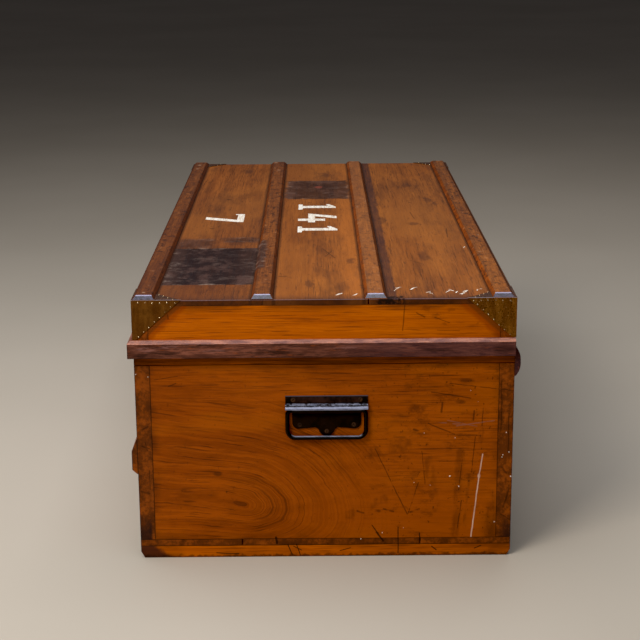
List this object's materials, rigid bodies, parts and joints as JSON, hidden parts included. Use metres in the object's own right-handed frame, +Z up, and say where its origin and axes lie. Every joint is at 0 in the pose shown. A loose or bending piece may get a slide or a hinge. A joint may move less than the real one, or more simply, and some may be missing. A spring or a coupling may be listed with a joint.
{
  "type": "blanket chest",
  "caption": "Long low travelling chest in camphor wood: battened hinged lid with brass corner caps, dark mouldings, drop-bail iron end handles and a chest lock.",
  "frame": {"origin": "on the floor, under the middle of the chest's outer box", "axes": "+X along the length to the right end seen from the front, +Y to the back where the hinges are, +Z up"},
  "size_m": [1.135, 0.5236, 0.371],
  "materials": {
    "camphor_wood": "worn varnish",
    "batten_wood": "worn varnish",
    "dark_hardwood": "waxed",
    "brass": "tarnished",
    "hinge_brass": "tarnished",
    "black_iron": "worn black japan",
    "iron_screws": "aged",
    "steel": "dull"
  },
  "bodies": {
    "chest": {"back_board": "camphor_wood", "back_rail": "dark_hardwood", "bottom_board_1": "camphor_wood", "bottom_board_2": "camphor_wood", "bottom_board_3": "camphor_wood", "end_board_left": "camphor_wood", "end_board_right": "camphor_wood", "escutcheon": "brass", "front_batten": "camphor_wood", "front_board": "camphor_wood", "handle_plate_left": "black_iron", "handle_plate_right": "black_iron", "handle_screws_left": "iron_screws", "handle_screws_right": "iron_screws", "hinge_lower_leaf_1": "hinge_brass", "hinge_lower_leaf_2": "hinge_brass", "hinge_lower_leaf_3": "hinge_brass", "hinge_pin_1": "hinge_brass", "hinge_pin_2": "hinge_brass", "hinge_pin_3": "hinge_brass", "hinge_screws_lower": "steel", "lipping_back": "camphor_wood", "lipping_front": "camphor_wood", "lipping_left": "camphor_wood", "lipping_right": "camphor_wood", "lock_case": "steel", "lock_cover": "steel", "lock_screws": "steel", "skid_left": "camphor_wood", "skid_middle": "camphor_wood", "skid_right": "camphor_wood"},
    "lid": {"corner_cap_back_left": "brass", "corner_cap_back_right": "brass", "corner_cap_front_left": "brass", "corner_cap_front_right": "brass", "hinge_screws_upper": "steel", "hinge_upper_leaf_1": "hinge_brass", "hinge_upper_leaf_2": "hinge_brass", "hinge_upper_leaf_3": "hinge_brass", "lid_back_board": "camphor_wood", "lid_batten_1": "batten_wood", "lid_batten_2": "batten_wood", "lid_batten_3": "batten_wood", "lid_batten_4": "batten_wood", "lid_board_1": "camphor_wood", "lid_board_2": "camphor_wood", "lid_board_3": "camphor_wood", "lid_end_left": "camphor_wood", "lid_end_right": "camphor_wood", "lid_front_board": "camphor_wood", "link_plate": "steel", "link_screws": "steel", "moulding_front": "dark_hardwood", "moulding_left": "dark_hardwood", "moulding_right": "dark_hardwood"},
    "bail_right": {"bail_right": "black_iron"},
    "bail_left": {"bail_left": "black_iron"},
    "bolt": {"lock_bolt": "steel"}
  },
  "joints": [
    {"name": "lid_hinge", "type": "hinge", "parent": "chest", "child": "lid", "pos_m": [0, 0.2562, 0.29745], "axis": [-1, 0, 0], "range_deg": [0, 99]},
    {"name": "bail_right_swing", "type": "hinge", "parent": "chest", "child": "bail_right", "pos_m": [0.56205, 0.0025, 0.2121], "axis": [0, -1, 0], "range_deg": [0, 72]},
    {"name": "bail_left_swing", "type": "hinge", "parent": "chest", "child": "bail_left", "pos_m": [-0.56205, 0.0025, 0.2121], "axis": [0, 1, 0], "range_deg": [0, 72]},
    {"name": "bolt_slide", "type": "slide", "parent": "chest", "child": "bolt", "axis": [1, 0, 0], "range_m": [0, 0.008]}
  ]
}
